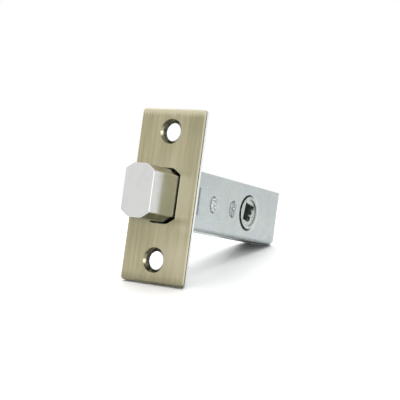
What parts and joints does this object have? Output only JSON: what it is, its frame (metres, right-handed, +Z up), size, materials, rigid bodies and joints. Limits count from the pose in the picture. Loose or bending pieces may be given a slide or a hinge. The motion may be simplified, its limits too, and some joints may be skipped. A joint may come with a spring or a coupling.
{
  "type": "interior door bolt",
  "caption": "Tubular privacy bolt for an interior door: a brushed brass faceplate, a straight polished bolt and a folded steel case with a square-socket hub that throws the bolt.",
  "frame": {"origin": "middle of the faceplate's front face, on the bolt's centre line", "axes": "+Y into the door along the bolt, +X along the spindle, +Z up along the faceplate"},
  "size_m": [0.0244, 0.081, 0.057],
  "materials": {
    "brushed_brass": "pale antique brass, brushed along its height and lacquered",
    "zinc_sheet": "bright zinc plate on folded sheet, slightly mottled",
    "polished_nickel": "polished nickel plate",
    "plated_casting": "zinc plated die casting, satin",
    "swaged_steel": "zinc plated steel, rough where it is swaged",
    "spring_steel": "tempered strip"
  },
  "bodies": {
    "case": {"faceplate": "brushed_brass", "inner_forend": "zinc_sheet", "case_body": "zinc_sheet", "case_lid": "zinc_sheet", "forend_rivet_upper": "swaged_steel", "forend_rivet_lower": "swaged_steel", "front_guide_post": "swaged_steel", "rear_guide_post": "swaged_steel", "detent_spring": "spring_steel", "spring_anchor_pin": "swaged_steel"},
    "hub": {"hub": "plated_casting"},
    "bolt": {"bolt": "polished_nickel"}
  },
  "joints": [
    {"name": "hub_turn", "type": "hinge", "parent": "case", "child": "hub", "pos_m": [0, 0.045, 0], "axis": [1, 0, 0], "range_deg": [0, 109.2], "deforming": ["detent_spring"]},
    {"name": "bolt_slide", "type": "slide", "parent": "case", "child": "bolt", "axis": [0, 1, 0], "range_m": [0, 0.01353]}
  ],
  "couplings": [
    {"joint": "hub_turn", "follows": "bolt_slide", "rad_per_m": 140.85}
  ]
}
